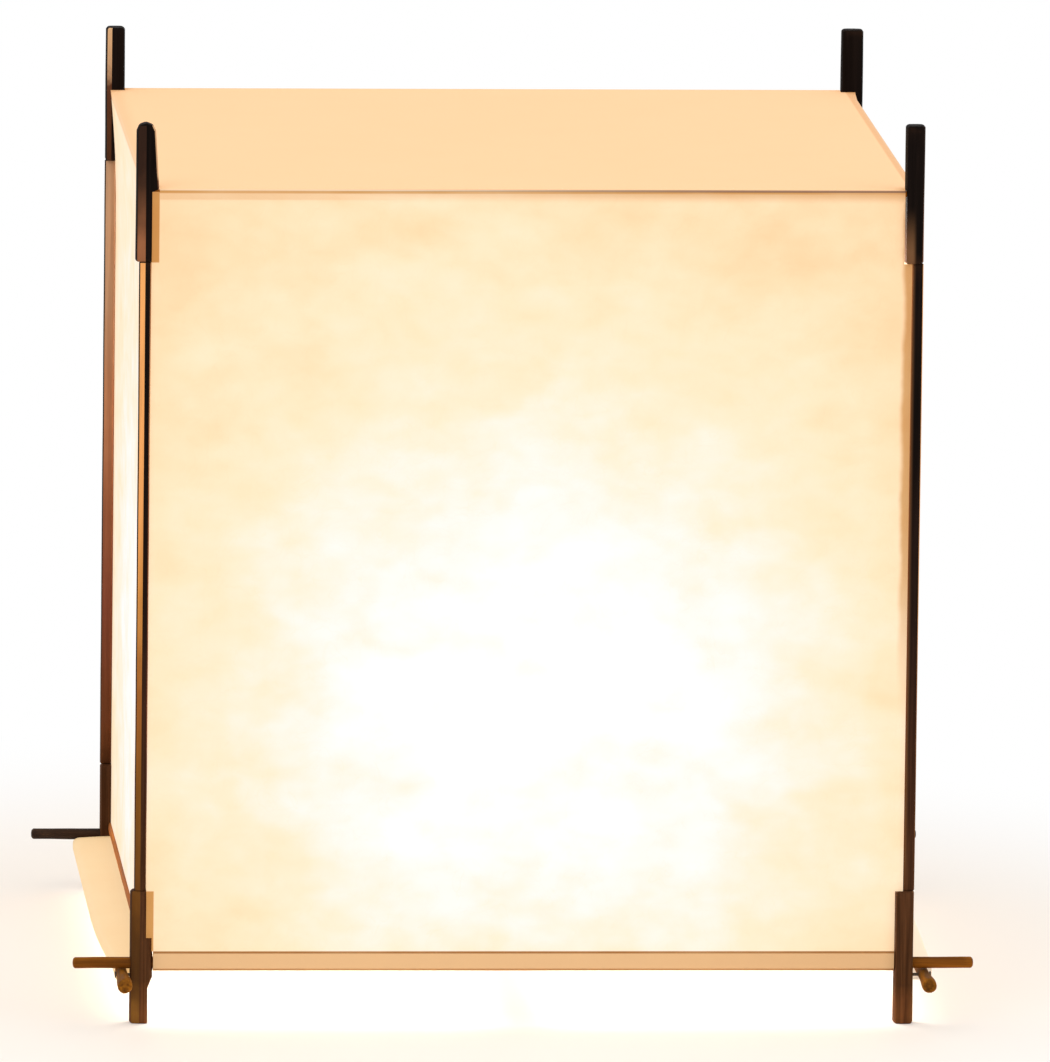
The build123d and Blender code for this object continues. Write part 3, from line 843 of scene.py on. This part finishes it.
def twig(node, material, axis, seed, swell=0.0):
    """A peeled stick in place of a round node: uneven, with soft ends, the front one maybe thicker."""
    low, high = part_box(node)
    middle = (low + high) / 2
    half = (high[axis] - low[axis]) / 2
    radius = (high.z - low.z) / 2
    cap = radius * STICK_CAP
    # fine rings on the soft ends, wide ones between them
    ends = [half - cap * (1 - math.cos(math.radians(a))) for a in (0, 25, 45, 65, 82)]
    places = [-p for p in ends] + steps(-ends[-1], ends[-1], 0.005)[1:-1] + ends[::-1]
    verts = []
    for p in places:
        in_cap = 1 - min(1.0, (half - abs(p)) / cap)
        size = STICK_END + (1 - STICK_END) * math.sqrt(max(0.0, 1 - in_cap**2))
        free = clamped((abs(p) - STICK_FREE) / FREE_EASE)
        thicker = swell if p < 0 else 0.0
        drift = STICK_WANDER * free * noise.noise(Vector((p * 25, seed, 4.0)))
        for r in range(STICK_POINTS):
            angle = 2 * math.pi * r / STICK_POINTS
            away = Vector((math.cos(angle), math.sin(angle)))
            uneven = noise.noise(Vector((p * 55, away.x * 1.3 + seed, away.y * 1.3)))
            reach = radius * size * (1 + free * (0.10 * uneven - 0.02 + thicker))
            reach -= (1 - free) * SEATED_GAP
            point = Vector((0, 0, 0))
            point[axis] = p
            point[1 - axis] = away.x * reach
            point.z = away.y * reach + drift
            verts.append(middle + point)
    faces = tube_faces(len(places), STICK_POINTS, axis == 1)
    piece = new_piece(f"{node}_wood", verts, faces, [material])
    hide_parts(node)


twig("front_cross_stick", cross_wood, 0, 1.0)
twig("back_cross_stick", shaded_back_wood, 0, 2.0)
twig("left_side_stick", side_wood, 1, 3.0, THICK_END)
twig("right_side_stick", side_wood, 1, 4.0, THICK_END)


def slim_rail(node):
    """A bamboo strip in place of a rail: slim, with soft edges and a slight crown."""
    low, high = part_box(node)
    outward = 1.0 if high.x > 0 else -1.0
    wall = low.x if outward > 0 else high.x
    base = low.z + STRIP_LIFT
    verts = []
    along = steps(low.y, high.y)
    for y in along:
        knot = STRIP_KNOT * noise.noise(Vector((y * 30, outward, 2.0)))
        lift = STRIP_WANDER * noise.noise(Vector((y * 14, outward, 7.0)))
        for out, up in STRIP_SECTION:
            verts.append((wall + outward * max(0.0, out + knot * (out > 0)), y, base + up + lift))
    faces = tube_faces(len(along), len(STRIP_SECTION), outward > 0)
    piece = new_piece(f"{node}_strip", verts, faces, [rail_wood])
    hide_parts(node)


slim_rail("left_rail")
slim_rail("right_rail")


# ---- Paper sheets ----
RIPPLE, PULLED_IN = 0.0011, 0.0012  # the stretched sides stand this far off their plane
RIPPLE_EASE = 0.05  # height over which they ease into it from their top and hem
LOOP_GAP = 0.0005  # between a stick and the hem round it
BAR_GAP = 0.0006  # between the crossbar and the hem
BAR_CUT = STICK_LEVEL - 0.001  # above this the loop is cut out for the bar
HEM_ROUND = 0.0022  # of the lower front edge of the hem
HEM_STEP = 0.0015
HEMS = 0.05  # paper in the two hems of a sheet

NOTCH = -block_high.y  # the top is cut out round the blocks beyond this
TOP_END = FACE - FOLD_RADIUS
NOTCH_GRID, RIM_GRID = 0.003, 0.0012
TOP_SAG, TOP_RIPPLE = 0.0016, 0.0005
RIM_WIDTH, RIM_DROP = 0.007, 0.0026  # the rim turns down softly over the side papers
RIM_EASE = 0.012  # but not within this distance of a notch

SIDE_STICK = (stick_low.x + stick_high.x) / 2
SIDE_STICK_LEVEL = (stick_low.z + stick_high.z) / 2
SIDE_WRAP = (stick_high.x - stick_low.x) / 2 + LOOP_GAP  # the least room from its middle to its hem
SKIRT_BOTTOM = side_low.z + PAPER / 2
SKIRT_TOP = rail_low.z - 0.0004
SKIRT_REACH = side_high.x - PAPER / 2
LOWER_ROUND, UPPER_ROUND = 0.0030, 0.0026  # of the side hem's outer edge
LIP = 0.0006  # small turn where the side hem meets the wall
HEM_BOW = 0.0026  # the side hem's outer edge bows out this far
RIGHT_RUN_IN, LEFT_RUN_IN = 0.0042, 0.0075  # and runs in towards the front end of its stick
SIDE_TOP = TOP - 0.0034  # the side papers end this high, under the top
FLAP_LEVEL = TOP - 0.0026
FLAP_START = 0.005  # inwards from the wall
LEAN_START, LEAN_HEIGHT = TOP - 0.058, 0.055  # the upper part leans out to the rim of the top
LEAN_GAP = 0.0005


def ripple(along, z, seed):
    """How far the stretched paper stands off its plane."""
    across = min(1.0, 1.5 * max(0.0, 1 - (along / POST_EDGE) ** 2))
    upward = clamped((z - HEM_TOP) / RIPPLE_EASE) * clamped((TOP - z) / RIPPLE_EASE)
    return (RIPPLE * noise.noise(Vector((along * 9, z * 9, seed))) - PULLED_IN) * across * upward


def paper_columns():
    """Places of the columns of an upright side, with a column on each step of its outline."""
    columns = [-POST_EDGE - FLANGE, -POST_EDGE, LEFT_BLOCK_EDGE - FOOT_LAP, LEFT_BLOCK_EDGE]
    columns += steps(LEFT_BLOCK_EDGE, RIGHT_BLOCK_EDGE)[1:]
    return columns + [POST_EDGE, POST_EDGE + FLANGE]


def face_rows(out):
    """Rows of (out, z, tag) from the hem up one side; the tag says what the row belongs to."""
    heights = [HEM_TOP]
    for stop in (BARE_WING, FOOT_TOP, TOP_BLOCK_BOTTOM, TOP - FOLD_RADIUS):
        heights += steps(heights[-1], stop)[1:]
    return [(out, z, "face") for z in heights[1:]]


def kept(along, z, tag):
    """Whether the outline of a side holds this place."""
    between_blocks = FOOT_TOP < z < TOP_BLOCK_BOTTOM
    if abs(along) > POST_EDGE:
        return tag == "face" and between_blocks
    if tag == "face":
        beside_foot = z < BARE_WING and along < LEFT_BLOCK_EDGE - FOOT_LAP
        return between_blocks or (along < RIGHT_BLOCK_EDGE and not beside_foot)
    at_bar = tag == "loop" and z > BAR_CUT and abs(along) < bar_high.x + BAR_GAP
    return LEFT_BLOCK_EDGE < along < RIGHT_BLOCK_EDGE and not at_bar


class Sheet:
    """Collects grids of paper in the front side's frame, turned to their side."""

    def __init__(self):
        self.verts, self.faces, self.index = [], [], {}

    def vert(self, point):
        key = tuple(round(c, 6) for c in point)
        if key not in self.index:
            self.index[key] = len(self.verts)
            self.verts.append(point)
        return self.index[key]

    def quad(self, points, r, c, material):
        """Adds the face from row r and column c to the next ones."""
        corners = ((r, c), (r, c + 1), (r + 1, c + 1), (r + 1, c))
        self.faces.append((tuple(self.vert(points[at]) for at in corners), material))

    def grid(self, turn, rows, place, keep, second):
        """rows are (out, z, tag); place makes a point; tags in second take the second material."""
        columns = paper_columns()
        spin = turned(turn)
        points = {}
        for r, (out, z, tag) in enumerate(rows):
            for c, along in enumerate(columns):
                points[r, c] = spin @ place(along, out, z)
        for r in range(len(rows) - 1):
            tag = rows[r + 1][2]
            middle_z = (rows[r][1] + rows[r + 1][1]) / 2
            for c in range(len(columns) - 1):
                if keep((columns[c] + columns[c + 1]) / 2, middle_z, tag):
                    self.quad(points, r, c, 1 if tag in second else 0)

    def piece(self, name, materials, flat, rests_on, node):
        made = new_piece(name, self.verts, self.faces, materials)
        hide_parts(node)
        modifier(made, "SOLIDIFY", thickness=PAPER, offset=0.0)


def hem_rows():
    """Rows of a hem: from the seam inside, round the stick's back and under it to its top in front."""
    stick_out = -(cross_low.y + cross_high.y) / 2
    around = (cross_high.z - cross_low.z) / 2 + LOOP_GAP
    loop = [(FACE - 0.0006, HEM_TOP + 0.0008), (FACE - 0.0030, HEM_TOP - 0.0014)]
    loop += arc((stick_out, STICK_LEVEL), around, 120, 270, 9)
    front = arc((FACE - HEM_ROUND, HEM_BOTTOM + HEM_ROUND), HEM_ROUND, 270, 360, 5)
    front += [(FACE, z) for z in steps(HEM_BOTTOM + HEM_ROUND, HEM_TOP, HEM_STEP)[1:]]
    return [(*at, "loop") for at in loop] + [(*at, "hem") for at in front]


def top_place(x, y):
    """A point of the top."""
    sag = TOP_SAG * max(0.0, 1 - (x / TOP_SIDE) ** 2) * max(0.0, 1 - (y / TOP_END) ** 2)
    rim = max(0.0, (abs(x) - (TOP_SIDE - RIM_WIDTH)) / RIM_WIDTH)
    free = clamped((NOTCH - abs(y)) / RIM_EASE)
    slow = TOP_RIPPLE * noise.noise(Vector((x * 11, y * 11, 9.0)))
    down = sag + RIM_DROP * rim**2.2 * free + abs(slow) * min(1.0, sag * 2000)
    return Vector((x, y, TOP - down))


def add_top(sheet):
    """The top, from fold to fold, cut out round the blocks."""
    ys = steps(-TOP_END, -NOTCH, NOTCH_GRID) + steps(-NOTCH, NOTCH)[1:]
    ys += steps(NOTCH, TOP_END, NOTCH_GRID)[1:]
    xs = steps(-TOP_SIDE, LEFT_BLOCK_EDGE, RIM_GRID) + steps(LEFT_BLOCK_EDGE, RIGHT_BLOCK_EDGE)[1:]
    xs = sorted(set(round(x, 6) for x in xs + [-x for x in xs]))
    points = {(r, c): top_place(x, y) for r, y in enumerate(ys) for c, x in enumerate(xs)}
    for r in range(len(ys) - 1):
        for c in range(len(xs) - 1):
            x, y = (xs[c] + xs[c + 1]) / 2, (ys[r] + ys[r + 1]) / 2
            if abs(y) < NOTCH or LEFT_BLOCK_EDGE < (x if y < 0 else -x) < RIGHT_BLOCK_EDGE:
                sheet.quad(points, r, c, 0)


def main_sheet():
    """Front, top and back in one piece, with a hem loop round each cross stick."""
    sheet = Sheet()
    fold = arc((FACE - FOLD_RADIUS, TOP - FOLD_RADIUS), FOLD_RADIUS, 0, 90)[1:]
    rows = hem_rows() + face_rows(FACE) + [(out, z, "fold") for out, z in fold]
    for turn, seed in ((0, 1.0), (2, 5.0)):

        def place(along, out, z, seed=seed):
            if abs(along) > POST_EDGE:
                # the glued flange runs inwards along the post
                return Vector((math.copysign(POST_EDGE - PAPER / 2, along), -(out - FLANGE), z))
            off = ripple(along, z, seed) if out >= FACE - NEAR else 0.0
            return Vector((along, -(out + off), z))

        sheet.grid(turn, rows, place, kept, ("hem", "loop"))
    add_top(sheet)
    sheet.piece(
        "front_top_back_washi",
        [shade_paper, hem_paper],
        (2 * FACE, 2 * (TOP - HEM_BOTTOM) + 2 * FACE + HEMS),
        ["front_top_rod", "back_top_rod", "front_cross_stick", "back_cross_stick"],
        "front_top_back_paper",
    )


def side_rows():
    """Rows of a side: its hem under and round the stick, the wall, and the flap under the top."""
    wall, stick, bottom, top = SIDE_FACE, SIDE_STICK, SKIRT_BOTTOM, SKIRT_TOP
    hem = [(wall - LIP, top - LIP), (wall - 0.0004, SIDE_STICK_LEVEL), (wall + LIP, bottom + 0.0012)]
    hem += [(stick - 0.006, bottom + 0.0003), (stick - 0.002, bottom + 0.0002), (stick + 0.002, bottom)]
    hem += arc((SKIRT_REACH - LOWER_ROUND, bottom + LOWER_ROUND), LOWER_ROUND, -90, 0, 5)
    hem += arc((SKIRT_REACH - UPPER_ROUND, top - 0.0008 - UPPER_ROUND), UPPER_ROUND, 0, 80, 6)
    hem += [(stick, top - 0.0005), (wall + 0.006, top - 0.0002), (wall + LIP, top), (wall, top + LIP)]
    face = [(wall, z, "face") for z in steps(top + LIP, HEM_TOP, 0.003)[1:]] + face_rows(wall)
    turn = arc((wall - FOLD_RADIUS, SIDE_TOP - FOLD_RADIUS), FOLD_RADIUS, 0, 90)
    rows = [(*at, "loop") for at in hem]
    rows += [row for row in face if row[1] < SIDE_TOP - FOLD_RADIUS]
    rows += [(*at, "face") for at in turn]
    return rows + [(out, FLAP_LEVEL, "flap") for out in (wall - FLAP_START, side_low.x + PAPER)]


def hem_bow(flank, along, share):
    """How far the outer part of a side hem bows out, less towards the front end of its stick."""
    if flank == "right":
        end = max(0.0, -along / POST_EDGE)
        return share * (HEM_BOW - RIGHT_RUN_IN * end**1.5)
    end = max(0.0, (along - 0.1 * POST_EDGE) / (0.9 * POST_EDGE))
    return share * max(HEM_BOW - LEFT_RUN_IN * end**2, SIDE_WRAP - (SKIRT_REACH - SIDE_STICK))


def side_sheet(turn, flank):
    """A side with its hem turned out round the side stick and a margin under the top."""
    sheet = Sheet()

    def place(along, out, z):
        if abs(along) > POST_EDGE:
            return Vector((math.copysign(POST_EDGE - PAPER / 2, along), -(out - PAPER), z))
        share = max(0.0, (out - SIDE_STICK) / (SKIRT_REACH - SIDE_STICK))
        off = ripple(along, z, 3.0 * turn) if abs(out - SIDE_FACE) < NEAR else 0.0
        lean = max(0.0, (z - LEAN_START) / LEAN_HEIGHT) ** 1.6 * (TOP_SIDE - SIDE_FACE - LEAN_GAP)
        return Vector((along, -(out + off + hem_bow(flank, along, share) + lean), z))

    def keep(along, z, tag):
        if tag == "loop":
            return LEFT_BLOCK_EDGE < along < RIGHT_BLOCK_EDGE
        if tag == "flap":
            return abs(along) < -LEFT_BLOCK_EDGE
        if (z < FOOT_TOP or z > TOP_BLOCK_BOTTOM) and along < LEFT_BLOCK_EDGE:
            return False
        return kept(along, z, tag)

    sheet.grid(turn, side_rows(), place, keep, ("loop",))
    sheet.piece(
        f"{flank}_washi",
        [shade_paper, skirt_paper],
        (2 * POST_EDGE, TOP - SKIRT_BOTTOM + HEMS),
        [f"{flank}_side_stick", f"{flank}_rail"],
        f"{flank}_paper",
    )


main_sheet()
side_sheet(1, "right")
side_sheet(3, "left")


# ---- Floor, background and light ----
FLOOR_HALF = 60.0
# the floor's warm colour near the lamp is the lamp's light, painted on
LAMPLIT_FLOOR, FLOOR_FAR = (0.99, 0.925, 0.845), (0.97, 0.97, 0.97)
FLOOR_GLOSS = 0.25
GLOW_ZONE = (0.3, 1.5)  # distances from the lamp between which its colour on the floor ends
WHITE_ZONE = (0.32, 0.74)  # and between which the camera sees the floor turn white


def floor():
    """A pale floor with the lamp's warm light painted on it nearby, that fades to white with distance from
    the lamp, sooner on the right.
    """
    corners = [(x * FLOOR_HALF, y * FLOOR_HALF, 0) for x, y in ((-1, -1), (1, -1), (1, 1), (-1, 1))]
    mesh = bpy.data.meshes.new("floor")
    mesh.from_pydata(corners, [], [(0, 1, 2, 3)])
    plane = bpy.data.objects.new("floor", mesh)
    bpy.context.scene.collection.objects.link(plane)
    n = Nodes("pale_floor")
    place = n.place()
    far = n.vector("LENGTH", place, out=1)
    colour = n.ramp(n.smooth(far, *GLOW_ZONE), [(0.0, LAMPLIT_FLOOR), (1.0, FLOOR_FAR)])
    n.set(Base_Color=colour, Roughness=0.6, Specular_IOR_Level=FLOOR_GLOSS)
    white = n.add("ShaderNodeEmission")
    white.inputs["Color"].default_value = (1, 1, 1, 1)
    fade = n.plus(far, n.times(n.most(n.split(place)[0], 0.0), 0.3))
    share = n.times(n.seen(), n.smooth(fade, *WHITE_ZONE, 0.22, 1.0))
    n.mix_shaders(share, n.shader.outputs[0], white.outputs[0], n.output.inputs[0])
    mesh.materials.append(n.material)


def world():
    """White behind the lamp, a plain soft light on it."""
    made = bpy.data.worlds.new("studio")
    bpy.context.scene.world = made
    made.use_nodes = True
    n = Tree(made.node_tree)
    soft, white = n.tree.nodes["Background"], n.add("ShaderNodeBackground")
    for light, colour, strength in ((soft, (1.0, 0.98, 0.96, 1), 0.86), (white, (1, 1, 1, 1), 1.0)):
        light.inputs["Color"].default_value = colour
        light.inputs["Strength"].default_value = strength
    n.mix_shaders(n.seen(), soft.outputs[0], white.outputs[0], n.tree.nodes["World Output"].inputs[0])


LIGHTS_AIM = Vector((0, 0, 0.2))
STUDIO_WHITE = (1.0, 0.99, 0.97)


def lamp_light(name, kind, energy, place, colour, **settings):
    data = bpy.data.lights.new(name, kind)
    data.energy = energy
    data.color = colour
    for key, value in settings.items():
        setattr(data, key, value)
    light = bpy.data.objects.new(name, data)
    light.location = place
    light.rotation_euler = (LIGHTS_AIM - Vector(place)).to_track_quat("-Z", "Y").to_euler()
    bpy.context.scene.collection.objects.link(light)


floor()
world()
lamp_light("key", "AREA", 22.0, (-1.6, -2.2, 2.6), STUDIO_WHITE, shape="DISK", size=2.4)
lamp_light("fill", "AREA", 11.0, (2.4, -1.2, 1.8), STUDIO_WHITE, shape="DISK", size=2.4)
lamp_light("bulb_light", "POINT", 6.0, (0, 0, 0.30), (0.90, 0.95, 1.0), shadow_soft_size=0.14)


def camera():
    """A long lens whose lamp middle lies on its pixel."""
    data = bpy.data.cameras.new("camera")
    data.sensor_fit = "HORIZONTAL"
    data.sensor_width = SENSOR_WIDTH
    data.lens = FOCAL_PIXELS * SENSOR_WIDTH / IMAGE_WIDTH
    data.clip_start, data.clip_end = 0.1, 500.0
    made = bpy.data.objects.new("camera", data)
    bpy.context.scene.collection.objects.link(made)
    flat = math.cos(CAMERA_ELEVATION)
    back = Vector((
        math.sin(CAMERA_AZIMUTH) * flat,
        -math.cos(CAMERA_AZIMUTH) * flat,
        math.sin(CAMERA_ELEVATION),
    ))
    right = (-back).cross(Vector((0, 0, 1))).normalized()
    up = right.cross(-back)
    metres = CAMERA_DISTANCE / FOCAL_PIXELS
    middle = Vector((0, 0, cad_high.z / 2))
    side = (IMAGE_WIDTH / 2 - LAMP_MIDDLE_PIXEL[0]) * metres
    down = (IMAGE_HEIGHT / 2 - LAMP_MIDDLE_PIXEL[1]) * metres
    spin = Matrix.Rotation(CAMERA_ROLL, 3, back)
    right, up = spin @ right, spin @ up
    made.location = middle + back * CAMERA_DISTANCE + right * side - up * down
    made.rotation_mode = "QUATERNION"
    made.rotation_quaternion = Matrix((right, up, back)).transposed().to_quaternion()
    bpy.context.scene.camera = made


camera()
bpy.context.scene.view_settings.view_transform = "Standard"
